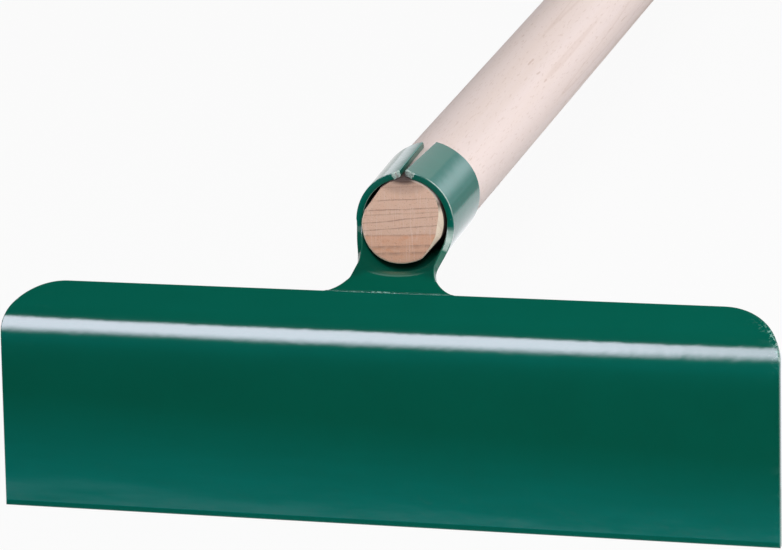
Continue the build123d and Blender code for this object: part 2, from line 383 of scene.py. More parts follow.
    def socket_middle(self, across, run):
        """Point halfway through the socket's sheet, from its unrolled place."""
        depth = self.sheet / 2
        if run < self.rim_run and abs(across) <= QUARTER * (self.front_radius + depth):
            point, slope = self.socket_path(run)
            radius, _, stretch = self.trough_arc(run)
            around = across / (radius + depth)
            up = (radius - (radius + depth) * math.cos(around)) * stretch
            upward = turned(max(slope, 0.0) + QUARTER)
            return point + upward * up + Vector(((radius + depth) * math.sin(around), 0.0, 0.0))
        half_width, half_height, middle = self.collar_round(run)
        around = across / (self.front_radius + depth)
        fitted = min(max((run - self.rim_run) / (self.socket.collar_length / 2), 0.0), 1.0)
        stretch = between(self.trough_arc(self.rim_run)[2], 1.0, 1.0 - (1.0 - fitted) ** 2)
        lower = max(math.cos(around), 0.0) * stretch + min(math.cos(around), 0.0)
        return Vector((
            (half_width + depth) * math.sin(around),
            self.rim + run - self.rim_run,
            middle - (half_height + depth) * lower))


def evenly(points, step):
    """Points about a step apart along the line through the given points, without its last one."""
    lengths = [0.0]
    for first, second in zip(points, points[1:]):
        lengths.append(lengths[-1] + (second - first).length)
    count = max(1, round(lengths[-1] / step))
    placed = []
    piece = 0
    for index in range(count):
        wanted = lengths[-1] * index / count
        while lengths[piece + 1] < wanted:
            piece += 1
        span = lengths[piece + 1] - lengths[piece]
        placed.append(points[piece].lerp(points[piece + 1], (wanted - lengths[piece]) / span))
    return placed


def flat_arc(centre, radius, start, turn, count=24):
    """Points of an arc on the unrolled sheet."""
    angles = [start + turn * part for part in parts(count)]
    return [Vector((centre[0] + radius * math.cos(a), centre[1] + radius * math.sin(a))) for a in angles]


def closed_outline(lines, step):
    """Outline of lines that follow each other, with points about a step apart."""
    return [point for line in lines for point in evenly(line, step)]


def is_inside(point, loop):
    """True where a flat point lies inside a closed loop."""
    inside = False
    last = loop[-1]
    for corner in loop:
        if (corner.y > point.y) != (last.y > point.y):
            crossing = corner.x + (point.y - corner.y) * (last.x - corner.x) / (last.y - corner.y)
            if point.x < crossing:
                inside = not inside
        last = corner
    return inside


def inner_loop(loop, margin):
    """Points a margin inside a loop that runs anticlockwise round the sheet."""
    moved = []
    for index, corner in enumerate(loop):
        way = loop[(index + 1) % len(loop)] - loop[index - 1]
        way.normalize()
        moved.append(corner + Vector((-way.y, way.x)) * margin)
    return moved


def search_tree(points):
    """Tree that finds the nearest of some flat points."""
    tree = kdtree.KDTree(len(points))
    for index, point in enumerate(points):
        tree.insert(point.to_3d(), index)
    tree.balance()
    return tree


def nearest(tree, point):
    """Distance from a flat point to the nearest one in a tree."""
    return tree.find(point.to_3d())[2]


def filled_sheet(outline, holes, lines, spacing, margin):
    """Flat triangles over an unrolled sheet: an outline, round holes and lines that keep their own points.

    Returns the corners, the triangles and each corner's distance from the nearest edge of the sheet.
    """
    merging = 1e-7
    on_edge = 1e-6
    sliver = 1e-4 * margin ** 2
    loops = [outline] + holes
    points = []
    edges = []
    for loop in loops:
        first = len(points)
        points.extend(loop)
        edges.extend((first + i, first + (i + 1) % len(loop)) for i in range(len(loop)))
    rim = search_tree(points)
    for line in lines:
        first = len(points)
        points.extend(line)
        edges.extend((first + i, first + i + 1) for i in range(len(line) - 1))
    taken = [point for line in lines for point in line]
    for loop in loops:
        support = [p for p in inner_loop(loop, margin) if nearest(rim, p) > 0.85 * margin]
        points.extend(support)
        taken.extend(support)
    near = search_tree(taken)

    def on_sheet(point):
        return is_inside(point, outline) and not any(is_inside(point, hole) for hole in holes)

    low = Vector((min(p.x for p in outline), min(p.y for p in outline)))
    high = Vector((max(p.x for p in outline), max(p.y for p in outline)))
    row = 0
    while low.y + row * spacing < high.y:
        across = low.x + spacing * (0.25 + 0.5 * (row % 2))
        while across < high.x:
            point = Vector((across, low.y + row * spacing))
            clear = nearest(near, point) > 0.55 * spacing and nearest(rim, point) > 1.5 * margin
            if clear and on_sheet(point):
                points.append(point)
            across += spacing
        row += 1
    corners, _, faces, *_ = geometry.delaunay_2d_cdt(points, edges, [], 1, merging, False)
    distances = [nearest(rim, corner) for corner in corners]
    kept = []
    for face in faces:
        on_rim = max(distances[i] for i in face) < on_edge
        if on_rim and geometry.area_tri(*[corners[i] for i in face]) < sliver:
            continue
        middle = sum((corners[i] for i in face), Vector((0.0, 0.0))) / len(face)
        if not on_rim or on_sheet(middle):
            kept.append(tuple(face))
    return corners, kept, distances


def surface_way(surface, across, run, reach):
    """Direction square to a sheet, smoothed over a short reach."""
    over = surface(across + reach, run) - surface(across - reach, run)
    along = surface(across, run + reach) - surface(across, run - reach)
    return over.cross(along).normalized()


def thick_sheet(flat, faces, surface, thickness, rounding, reach):
    """Bends a flat sheet along a surface and gives it its thickness, with rounded free edges.

    Returns points, directions square to the skin, faces, and for each point its flat corner and its depth.
    rounding is a function of a flat corner.
    """
    middle = [surface(p.x, p.y) for p in flat]
    square = [surface_way(surface, p.x, p.y, reach) for p in flat]
    sides = dict.fromkeys(side for face in faces for side in zip(face, face[1:] + face[:1]))
    free = [edge for edge in sides if edge[::-1] not in sides]
    outward = {}
    for first, second in free:
        way = (middle[second] - middle[first]).cross(square[first] + square[second]).normalized()
        for corner in (first, second):
            outward[corner] = outward.get(corner, Vector()) + way
    widest = 1.6
    out = {c: total.normalized() * min(2.0 / total.length, widest) for c, total in outward.items()}
    points, ways, origins, depths = [], [], [], []

    def add(corner, point, way, depth):
        points.append(point)
        ways.append(way)
        origins.append(corner)
        depths.append(depth)
        return len(points) - 1

    used = sorted({corner for face in faces for corner in face})
    skins = ({}, {})
    half = thickness / 2
    for corner in used:
        inset = out[corner] * rounding(flat[corner]) if corner in out else Vector()
        for skin, side in zip(skins, (1.0, -1.0)):
            place = middle[corner] + square[corner] * half * side - inset
            skin[corner] = add(corner, place, square[corner] * side, half - half * side)
    rings = [skins[0]]
    steps = 4
    for side in (1.0, -1.0):
        turns = range(1, steps + 1) if side > 0 else range(steps, 0, -1)
        for step in turns:
            around = QUARTER * step / steps
            ring = {}
            for corner in out:
                radius = rounding(flat[corner])
                rise = (half - radius * (1.0 - math.cos(around))) * side
                inset = out[corner] * radius * (1.0 - math.sin(around))
                place = middle[corner] + square[corner] * rise - inset
                way = square[corner] * side * math.cos(around) + out[corner].normalized() * math.sin(around)
                ring[corner] = add(corner, place, way, half - rise)
            rings.append(ring)
    rings.append(skins[1])
    shell = [tuple(skins[0][corner] for corner in face) for face in faces]
    shell += [tuple(skins[1][corner] for corner in reversed(face)) for face in faces]
    for upper, lower in zip(rings, rings[1:]):
        shell += [(upper[a], lower[a], lower[b], upper[b]) for a, b in free]
    return points, ways, shell, origins, depths


def sheet_facts(flat, distances, origins, depths):
    """Unrolled place and distance from the nearest edge, for each point of a thick sheet."""
    place = [Vector((*flat[origin], depth)) for origin, depth in zip(origins, depths)]
    return {"place": place, "edge": [distances[origin] for origin in origins]}


def tube_faces(rings, around):
    """Faces of a tube made of rings of points, closed by a flat cap at each end."""
    faces = [tuple(range(around))]
    for start in range(0, (rings - 1) * around, around):
        for turn in range(around):
            first = start + turn
            second = start + (turn + 1) % around
            faces.append((first, first + around, second + around, second))
    faces.append(tuple(reversed(range((rings - 1) * around, rings * around))))
    return faces


def new_piece(name, points, faces, laid, materials, ways=None, finishes=None, **facts):
    """Adds a piece to the scene, laid on the floor. facts are named numbers or vectors for each point."""
    mesh = bpy.data.meshes.new(name)
    mesh.from_pydata([laid @ point for point in points], [], faces)
    for fact, values in facts.items():
        if isinstance(values[0], Vector):
            layer = mesh.attributes.new(fact, "FLOAT_VECTOR", "POINT")
            layer.data.foreach_set("vector", [number for value in values for number in value])
        else:
            layer = mesh.attributes.new(fact, "FLOAT", "POINT")
            layer.data.foreach_set("value", values)
    for material in materials:
        mesh.materials.append(material)
    if finishes:
        mesh.polygons.foreach_set("material_index", finishes)
    mesh.polygons.foreach_set("use_smooth", [True] * len(faces))
    if ways:
        turn = laid.to_3x3()
        mesh.normals_split_custom_set_from_vertices([turn @ way for way in ways])
    mesh.validate()
    mesh.update()
    piece = bpy.data.objects.new(name, mesh)
    bpy.context.scene.collection.objects.link(piece)
    return piece


def dress(piece, slot, *nodes):
    """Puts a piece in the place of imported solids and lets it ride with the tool."""
    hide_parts(*nodes)
    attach(piece, "root")


class Field:
    """A node's output, so that shader maths can be written as expressions."""

    def __init__(self, nodes, socket):
        self.nodes = nodes
        self.socket = socket

    def joined(self, operation, first, second):
        return self.nodes.add("ShaderNodeMath", {"operation": operation}, {0: first, 1: second})

    def __add__(self, other):
        return self.joined("ADD", self, other)

    def __radd__(self, other):
        return self.joined("ADD", other, self)

    def __sub__(self, other):
        return self.joined("SUBTRACT", self, other)

    def __rsub__(self, other):
        return self.joined("SUBTRACT", other, self)

    def __mul__(self, other):
        return self.joined("MULTIPLY", self, other)

    def __rmul__(self, other):
        return self.joined("MULTIPLY", other, self)

    def __truediv__(self, other):
        return self.joined("DIVIDE", self, other)

    def __rtruediv__(self, other):
        return self.joined("DIVIDE", other, self)


class Nodes:
    """Builds the node tree of a material or of the world."""

    def __init__(self, tree):
        self.tree = tree
        tree.nodes.clear()

    def add(self, kind, settings=None, sockets=None, output=0):
        """Adds a node: its settings first, then the values or links of its sockets. Returns one output."""
        node = self.tree.nodes.new(kind)
        for name, value in (settings or {}).items():
            setattr(node, name, value)
        for key, value in (sockets or {}).items():
            socket = self.find(node.inputs, key)
            if isinstance(value, Field):
                self.tree.links.new(value.socket, socket)
            else:
                socket.default_value = value
        return Field(self, self.find(node.outputs, output)) if len(node.outputs) else None

    @staticmethod
    def find(sockets, key):
        if isinstance(key, int):
            return sockets[key]
        return next(socket for socket in sockets if socket.enabled and socket.name == key)

    def fact(self, name, output="Fac"):
        return self.add("ShaderNodeAttribute", {"attribute_name": name}, output=output)

    def stretched(self, vector, x, y, z):
        return self.add("ShaderNodeVectorMath", {"operation": "MULTIPLY"}, {0: vector, 1: (x, y, z)})

    def grain(self, vector, scale, detail=2.0, roughness=0.5):
        return self.add("ShaderNodeTexNoise", None, {
            "Vector": vector, "Scale": scale, "Detail": detail, "Roughness": roughness}, "Fac")

    def ramp(self, value, low, high):
        """Rises smoothly from 0 at low to 1 at high."""
        return self.add("ShaderNodeMapRange", {"interpolation_type": "SMOOTHSTEP"}, {
            "Value": value, "From Min": low, "From Max": high, "To Min": 0.0, "To Max": 1.0})

    def tinted(self, part, first, second):
        """Colour between two colours."""
        return self.add("ShaderNodeMix", {"data_type": "RGBA"}, {
            "Factor": part, "A": self.solid(first), "B": self.solid(second)}, "Result")

    def layered(self, colour, *layers):
        """Colour with others laid over it in turn, each given as its part and its colour."""
        for part, over in layers:
            colour = self.tinted(part, colour, over)
        return colour

    @staticmethod
    def solid(value):
        return value if isinstance(value, Field) else (*value, 1.0)

    def bump(self, height, strength, distance, normal=None):
        sockets = {"Height": height, "Strength": strength, "Distance": distance}
        if normal:
            sockets["Normal"] = normal
        return self.add("ShaderNodeBump", None, sockets)

    def split(self, vector, axis):
        return self.add("ShaderNodeSeparateXYZ", None, {0: vector}, axis)


def new_material(name):
    """Empty material with its node builder."""
    material = bpy.data.materials.new(name)
    material.use_nodes = True
    return material, Nodes(material.node_tree)


def finished(nodes, sockets):
    """Ends a material in one principled shader."""
    shader = nodes.add("ShaderNodeBsdfPrincipled", None, sockets)
    nodes.add("ShaderNodeOutputMaterial", None, {"Surface": shader})


def paint_material(name, finish, dull_shaded_inside=False):
    """Glossy green paint as far as the facts of the points say: paler green, scuffs, nicks and chips, painted
    reflection and light on the blade, painted highlights, and painted shade inside the socket.
    """
    material, nodes = new_material(name)
    place = nodes.fact("place", "Vector")
    wear = nodes.fact("wear")
    gleam = nodes.fact("gleam")
    cloud = nodes.grain(place, 28.0, 3.0)
    streak = nodes.grain(nodes.stretched(place, 0.12, 1.0, 1.0), 150.0, 3.0)
    # Paler green from the points: on the blade painted reflection and painted light, on the collar paler
    # paint.
    dusty = nodes.fact("dust") * (0.7 + 0.6 * streak)
    smear = nodes.grain(nodes.stretched(place, 0.5, 1.0, 1.0), 190.0, 4.0, 0.6)
    rubbed = nodes.ramp(smear, 0.52, 0.72) * nodes.fact("scuff")
    ragged = nodes.grain(place, 420.0, 4.0, 0.65)
    patchy = nodes.grain(place, 90.0, 2.0)
    reach = 0.3 * MM + 4.5 * MM * wear * patchy
    near_edge = nodes.ramp(nodes.fact("edge") / reach, 1.0, 0.2)
    chip = nodes.ramp(near_edge * wear * 0.6 + ragged, 0.80, 0.86)
    deep = nodes.ramp(near_edge * wear * 0.5 + ragged, 1.00, 1.06)
    scratch = nodes.grain(nodes.stretched(place, 0.8, 1.0, 1.0), 760.0, 3.0, 0.6)
    nick = nodes.ramp(scratch, 0.52, 0.60) * nodes.fact("nicks")
    mottle = nodes.ramp(nodes.grain(place, 1100.0, 3.0, 0.6), 0.40, 0.62)
    surface = nodes.layered(
        finish.paint,
        (nodes.ramp(cloud, 0.35, 0.7), finish.paint_deep),
        # Paler green: painted reflection of the floor, painted glow under the bend's highlight and painted
        # light on the band of the blade, and paler paint on the collar.
        (dusty, finish.paint_dusty),
        # Pale painted reflection of the floor near the scraping edge.
        (nodes.ramp(dusty, 0.8, 1.15) * 0.55, finish.floor_sheen),
        (rubbed * 0.3, finish.paint_rubbed),
        (chip, nodes.tinted(mottle * 0.8, finish.chipped, finish.chipped_dark)),
        (nick * 0.85, finish.nicked),
        # Painted highlight in the pale chipped colour on the socket's rim and right wall, and a painted
        # reflection of the wood at the rim's inner left.
        (gleam * 0.8, finish.chipped),
        (deep, finish.bare_steel))
    peel = nodes.grain(place, 520.0, 2.0)
    sag = nodes.grain(place, 110.0, 2.0)
    normal = nodes.bump(sag, 0.17, 0.6 * MM)
    normal = nodes.bump(peel - 1.6 * chip, 0.14, 0.1 * MM, normal)
    gloss = {
        "Base Color": surface,
        "Roughness": 0.10 + 0.02 * cloud + 0.15 * rubbed + 0.35 * chip + 0.3 * (nick + gleam),
        "Metallic": deep * 0.6,
        "IOR": 1.5,
        "Coat Weight": 0.25 * nodes.ramp(chip, 0.9, 0.1),
        "Coat Roughness": 0.08,
        "Normal": normal,
    }
    if not dull_shaded_inside:
        finished(nodes, gloss)
        return material
    # Inside the socket the colour is darkened towards a near-black green as painted shade, and the paint is
    # dull.
    shaded_inside = nodes.tinted(0.25 + 0.4 * cloud, surface, finish.inside_shade)
    dull = {"Base Color": shaded_inside, "Roughness": 0.75, "Specular IOR Level": 0.03, "Normal": normal}
    shaders = [nodes.add("ShaderNodeBsdfPrincipled", None, sockets) for sockets in (gloss, dull)]
    mixed = nodes.add("ShaderNodeMixShader", None, {0: nodes.fact("inside"), 1: shaders[0], 2: shaders[1]})
    nodes.add("ShaderNodeOutputMaterial", None, {"Surface": mixed})
    return material


def beech_material(name, finish, pale, warm):
    """Planed or whittled beech: pale, with faint growth streaks along the handle, short brown flecks, and
    painted shade in and above the socket.
    """
    material, nodes = new_material(name)
    place = nodes.fact("place", "Vector")
    bend = nodes.grain(nodes.stretched(place, 1.0, 1.0, 0.25), 18.0, 2.0)
    swayed = nodes.add("ShaderNodeVectorMath", {"operation": "ADD"}, {
        0: place, 1: nodes.add("ShaderNodeCombineXYZ", None, {0: 6.0 * MM * bend, 1: 4.0 * MM * bend})})
    streak = nodes.grain(nodes.stretched(swayed, 1.0, 1.0, 0.03), 170.0, 4.0, 0.6)
    broad = nodes.grain(nodes.stretched(swayed, 1.0, 1.0, 0.05), 42.0, 2.0)
    growth = nodes.ramp(streak * 0.6 + broad * 0.5, 0.42, 0.78)
    band = nodes.grain(nodes.stretched(swayed, 1.0, 1.0, 0.02), 95.0, 1.0)
    line = nodes.ramp(band, 0.575, 0.60) - nodes.ramp(band, 0.60, 0.625)
    dash = nodes.grain(nodes.stretched(swayed, 1.0, 1.0, 0.13), 1500.0, 1.0)
    fleck = nodes.ramp(dash, 0.60, 0.74)
    rare = nodes.ramp(nodes.grain(nodes.stretched(swayed, 1.0, 1.0, 0.16), 520.0, 1.0), 0.735, 0.79)
    wood = nodes.layered(
        pale,
        (growth * 0.6, warm),
        (line * 0.22, finish.beech_fleck),
        (fleck * 0.30, finish.beech_fleck),
        (rare * 0.5, finish.beech_fleck),
        # Painted shade from the points, in and above the socket.
        (nodes.fact("stain") * 0.97, finish.beech_stain))
    fibre = nodes.grain(nodes.stretched(place, 1.0, 1.0, 0.02), 2400.0, 2.0)
    normal = nodes.bump(fibre - 0.8 * fleck - 0.8 * rare, 0.22, 0.12 * MM)
    finished(nodes, {
        "Base Color": wood,
        "Roughness": 0.54 + 0.14 * streak + 0.1 * fleck,
        "IOR": 1.42,
        "Normal": normal,
    })
    return material


def end_grain_material(name, finish):
    """Sawn end of the beech: growth lines almost level, a redder lower part, fine rays, open pores and
    painted shade at its top.
    """
    material, nodes = new_material(name)
    place = nodes.fact("place", "Vector")
    across = nodes.split(place, "X")
    wander = nodes.grain(nodes.stretched(place, 0.35, 1.0, 1.0), 260.0, 3.0) - 0.5
    upright = nodes.split(place, "Y") + 1.1 * MM * wander
    patch = nodes.grain(place, 260.0, 3.0)
    broken = nodes.ramp(nodes.grain(nodes.stretched(place, 1.0, 0.3, 1.0), 210.0, 3.0), 0.34, 0.62)
    red_depth = RED_GROWTH_TOP * MM - upright + RED_GROWTH_SLOPE * across
    red = nodes.ramp(red_depth, 0.0, 0.5 * MM)
    blotch = nodes.ramp(nodes.grain(nodes.stretched(place, 0.6, 1.0, 1.0), 420.0, 3.0), 0.45, 0.7)
    ray = nodes.ramp(nodes.grain(nodes.stretched(place, 1.0, 0.07, 0.1), 1700.0, 2.0), 0.5, 0.75)
    pore = nodes.ramp(nodes.grain(place, 1900.0, 1.0), 0.58, 0.76)
    # Painted shade across the top of the sawn end and a darker painted shadow at its very top, under the
    # collar.
    shade = nodes.ramp(upright - 25.0 * across * across, 10.8 * MM, 14.8 * MM)
    stain = nodes.ramp(upright - 40.0 * across * across, 15.7 * MM, 18.0 * MM)
    lines = []
    for height, width, strength, slope in GROWTH_LINES:
        above = upright - slope * across - height * MM
        line = nodes.ramp(above, -width * MM, -0.1 * MM) - nodes.ramp(above, -0.1 * MM, 0.1 * MM)
        lines.append((line * (0.4 + 0.6 * broken) * strength, finish.end_grain_line))
    wood = nodes.layered(
        finish.end_grain,
        (0.5 * patch, finish.end_grain_red),
        (red * (0.55 + 0.45 * blotch), finish.end_grain_red),
        *lines,
        (ray * 0.24, finish.beech_warm),
        (pore * 0.4, finish.end_grain_line),
        (shade * 0.3, finish.beech_stain),
        (stain * 0.9, finish.beech_stain))
    saw = nodes.grain(nodes.stretched(place, 0.08, 1.0, 1.0), 1500.0, 2.0)
    normal = nodes.bump(saw + 0.3 * ray - 0.9 * pore, 0.35, 0.2 * MM)
    finished(nodes, {
        "Base Color": wood,
        "Roughness": 0.78 + 0.12 * patch,
        "IOR": 1.4,
        "Normal": normal,
    })
    return material


def zinc_material(name, finish):
    """Zinc plating with dull patches and fine scratches."""
    material, nodes = new_material(name)
    place = nodes.add("ShaderNodeTexCoord", output="Object")
    patch = nodes.ramp(nodes.grain(place, 700.0, 4.0, 0.6), 0.4, 0.65)
    scratch = nodes.grain(nodes.stretched(place, 1.0, 0.1, 0.1), 5200.0, 2.0)
    normal = nodes.bump(scratch + 0.5 * patch, 0.2, 0.05 * MM)
    finished(nodes, {
        "Base Color": nodes.tinted(patch, finish.zinc, finish.zinc_dull),
        "Roughness": 0.32 + 0.2 * patch + 0.1 * scratch,
        "Metallic": 1.0,
        "Normal": normal,
    })
    return material


class SCRAPER_OT_blade(bpy.types.Operator):
    """Bent steel blade with two rounded upper corners and a square scraping edge"""
    bl_idname = "scraper.blade"
    bl_label = "Blade"

    @staticmethod
    def paint_roll(part):
        """Share of the thick paint's depth, from the scraping edge at 0 to its upper end at 1."""
        part = min(max(part, 0.0), 1.0)
        return (1.0 - part) ** 2 * (0.75 + 4.0 * part)

    @classmethod
    def roll_slope(cls, part):
        """How fast the share of the thick paint's depth changes."""
        nearby = 0.01
        return (cls.paint_roll(part + nearby) - cls.paint_roll(part - nearby)) / (2 * nearby)

    @staticmethod
    def dust_at(shape, corner):
        """Paler green on the blade: a painted reflection of the pale floor on the main face, stronger towards
        its foot and its left, a painted glow where the bend starts under its highlight, and a little painted
        light on the band above.
        """
        blade = shape.blade
        height = corner.y / blade.face_height
        leftward = 0.5 - corner.x / blade.width
        start = between(0.50, 0.70, leftward)
        full = 0.1 * leftward
        # Painted reflection of the floor, stronger lower down the main face.
        dusty = min(max((start - height) / (start - full), 0.0), 1.0) ** 1.15
        if corner.y <= 0.9 * blade.paint_roll_height:
            dusty *= 0.3
        # Painted light on the band and a painted glow where the bend starts, under its highlight.
        bend_end = blade.face_height + shape.bend_arc
        on_band = smooth_step(corner.y, bend_end - 0.5 * shape.bend_arc, bend_end)
        at_bend = math.exp(-abs(corner.y - blade.face_height - 1.5 * MM) / (4.5 * MM))
        return dusty + 0.12 * on_band + 0.6 * at_bend

    def execute(self, context):
        settings = context.scene.scraper
        shape = ToolShape(settings)
        blade = settings.blade
        half = blade.width / 2
        radius = blade.corner_radius
        top = shape.blade_height
        step = 1.3 * MM
        outline = closed_outline([
            [Vector((-half, 0.0)), Vector((half, 0.0))],
            [Vector((half, 0.0)), Vector((half, top - radius))],
            flat_arc((half - radius, top - radius), radius, 0.0, QUARTER),
            [Vector((half - radius, top)), Vector((radius - half, top))],
            flat_arc((radius - half, top - radius), radius, QUARTER, QUARTER),
            [Vector((-half, top - radius)), Vector((-half, 0.0))],
        ], step)
        inset = 1.0 * MM
        lines = []
        for part in (0.56, 0.78, 1.0, 1.25):
            run = blade.paint_roll_height * part
            ends = [Vector((inset - half, run)), Vector((half - inset, run))]
            lines.append(evenly(ends, step) + [ends[1]])
        spacing = 3.4 * MM
        margin = 0.9 * MM
        flat, faces, distances = filled_sheet(outline, [], lines, spacing, margin)
        foot_half = shape.trough_half(0.0)

        def rounding(corner):
            welded = corner.y > top - TOUCHING and abs(corner.x) < foot_half
            return WELDED_ROUNDING if welded else blade.edge_rounding

        smoothing = 2.0 * MM
        points, ways, shell, origins, depths = thick_sheet(
            flat, faces, shape.blade_middle, shape.sheet, rounding, smoothing)
        for index, point in enumerate(points):
            part = (point.z + blade.face_height) / blade.paint_roll_height
            if part >= 1.0:
                continue
            front = 1.0 - point.y / shape.sheet
            point.y -= front * blade.paint_roll_depth * self.paint_roll(part)
            point.z += max(point.y, 0.0) * shape.floor_slope * (1.0 - part)
            if depths[index] == 0.0:
                steepness = self.roll_slope(part) * blade.paint_roll_depth / blade.paint_roll_height
                ways[index] = Vector((ways[index].x, -1.0, -steepness)).normalized()
        right_corner = Vector((half, top - 0.62 * radius))
        left_corner = Vector((-half, top - 0.5 * radius))
        nicked_corner = Vector((half - 0.18 * radius, top - 0.58 * radius))
        foot_corner = Vector((half, 0.0))
        wear, dust, scuff, nicks = [], [], [], []
        for origin in origins:
            corner, distance = flat[origin], distances[origin]
            at_right = bell((corner - right_corner).length / (0.55 * radius))
            at_left = bell((corner - left_corner).length / (0.8 * radius))
            at_foot = bell((corner - foot_corner).length / (38.0 * MM))
            at_nicks = bell((corner - nicked_corner).length / (0.3 * radius))
            along_edge = bell(distance / (4.0 * MM))
            wear.append(0.18 + 0.25 * at_right + 0.15 * at_left)
            # Paler green that paints the floor's reflection and light on the blade.
            dust.append(self.dust_at(shape, corner))
            scuff.append(0.4 * at_foot * along_edge + 0.25 * at_right + 0.25 * at_left)
            nicks.append(at_nicks * bell((distance - 0.7 * MM) / (0.8 * MM)))
        piece = new_piece(
            "blade_sheet", points, shell, shape.laid, [paint_material("blade green paint", settings.finish)],
            ways, wear=wear, dust=dust, scuff=scuff, nicks=nicks,
            **sheet_facts(flat, distances, origins, depths))
        dress(piece, "green_paint", "blade")
        return {"FINISHED"}


def socket_outline(shape, step):
    """Unrolled outline of the socket, anticlockwise from the left end of the weld."""
    socket = shape.socket
    runs = [shape.rim_run * (1.0 - (1.0 - part) ** 2) for part in parts(160)]
    right_edge = [Vector((shape.trough_half(run), run)) for run in runs]
    rim, back = shape.rim_run, shape.back_run
    cut_end = rim + socket.lip_cut_length

    def lip(side):
        """Corners and the line of a seam lip, from its cut-off front corner to its back corner."""
        cut_width = socket.left_cut_width if side < 0 else socket.right_cut_width
        front = Vector((shape.seam_edge(rim, side) - side * cut_width, rim))
        runs = [between(cut_end, back + socket.lip_point_length, part) for part in parts(20)]
        return front, [Vector((shape.seam_edge(run, side), run)) for run in runs]

    right_cut, right_lip = lip(1)
    left_cut, left_lip = lip(-1)
    back_edge = []
    for part in parts(80):
        corner = right_lip[-1].lerp(left_lip[-1], part)
        inward = min(right_lip[-1].x - corner.x, corner.x - left_lip[-1].x) / socket.lip_point_width
        corner.y = back + socket.lip_point_length * max(1.0 - inward, 0.0) ** 1.5
        back_edge.append(corner)
    left_edge = [Vector((-corner.x, corner.y)) for corner in reversed(right_edge)]
    return closed_outline([
        [left_edge[-1], right_edge[0]],
        right_edge,
        [right_edge[-1], right_cut],
        [right_cut, right_lip[0]],
        right_lip,
        back_edge,
        left_lip[::-1],
        [left_lip[0], left_cut],
        [left_cut, left_edge[0]],
        left_edge,
    ], step)


class SCRAPER_OT_socket(bpy.types.Operator):
    """Rolled steel socket: foot, neck, trough and a collar with an open seam"""
    bl_idname = "scraper.socket"
    bl_label = "Socket"

    @staticmethod
    def inside_at(shape, corner):
        """0 on the glossy foot, 1 behind the crest of the neck's bend, where the paint is dull and darkened
        as painted shade.
        """
        socket = shape.socket
        crest_run = socket.foot_length + socket.neck_bend_radius * shape.band_slope
        start = crest_run - (2.5 + 0.8 * (corner.x / (9.0 * MM)) ** 2) * MM
        return smooth_step(corner.y, start, start + 1.7 * MM)

    @staticmethod
    def gleam_at(shape, corner, depth, distance):
        """Painted highlight in a pale colour at the rim's outer corner on the right and upper right and on
        the right wall's free edge close to the rim, and a painted reflection of the wood at the rim's inner
        corner on the left and upper left.
        """
        around = corner.x / (shape.front_radius + shape.sheet / 2)
        before = shape.rim_run - corner.y
        if abs(before) < TOUCHING:
            if depth > shape.sheet - RIM_CORNER:
                strength = 0.5 if depth >= shape.sheet else 0.9
                return strength * (smooth_step(around, 1.6, 1.95) - smooth_step(around, 2.5, 2.75))
            if 0.0 < depth < RIM_CORNER:
                return 0.45 * (smooth_step(-around, 1.7, 1.9) - smooth_step(-around, 2.4, 2.6))
        elif before > 0.0 and corner.x > 0.0 and distance < TOUCHING:
            fading = 1.0 - smooth_step(before, 1.2 * MM, 3.6 * MM)
            return 0.55 * smooth_step(before, 0.1 * MM, 0.5 * MM) * fading
        return 0.0

    def execute(self, context):
        settings = context.scene.scraper
        shape = ToolShape(settings)
        socket = settings.socket
        step = 1.0 * MM
        spacing = 1.9 * MM
        margin = 0.9 * MM
        outline = socket_outline(shape, step)
        hole_run = (shape.rim_run + shape.back_run) / 2
        hole = list(reversed(flat_arc((0.0, hole_run), socket.screw_hole, 0.0, 2 * math.pi, 32)[:-1]))
        flat, faces, distances = filled_sheet(outline, [hole], [], spacing, margin)

        def rounding(corner):
            if corner.y < TOUCHING:
                return WELDED_ROUNDING
            at_rim = abs(corner.y - shape.rim_run) < TOUCHING
            return socket.rim_rounding if at_rim else settings.blade.edge_rounding

        smoothing = 1.2 * MM
        points, ways, shell, origins, depths = thick_sheet(
            flat, faces, shape.socket_middle, shape.sheet, rounding, smoothing)
        rim = shape.rim_run
        left_lip, right_lip = [Vector((shape.seam_edge(rim, side), rim)) for side in (-1, 1)]
        wear, inside, dust, gleam = [], [], [], []
        for origin, depth in zip(origins, depths):
            corner = flat[origin]
            at_left = bell((corner - left_lip).length / (2.3 * MM))
            at_right = bell((corner - right_lip).length / (3.6 * MM))
            wear.append(min(1.0, 0.2 + 1.2 * max(at_left, at_right)))
            inside.append(self.inside_at(shape, corner) if depth == 0.0 else 0.0)
            # Paler green on the outside of the collar.
            on_collar = smooth_step(corner.y, rim - 1.5 * MM, rim - TOUCHING)
            dust.append(0.5 * on_collar * smooth_step(depth, 0.0, shape.sheet))
            # Painted highlights on the rim and the right wall's edge, and a painted reflection of the wood at
            # the rim's inner left.
            gleam.append(self.gleam_at(shape, corner, depth, distances[origin]))
        paint = paint_material("socket green paint", settings.finish, True)
        piece = new_piece(
            "socket_sheet", points, shell, shape.laid, [paint], ways, wear=wear, inside=inside, dust=dust,
            gleam=gleam, **sheet_facts(flat, distances, origins, depths))
        dress(piece, "green_paint", "socket")
        return {"FINISHED"}


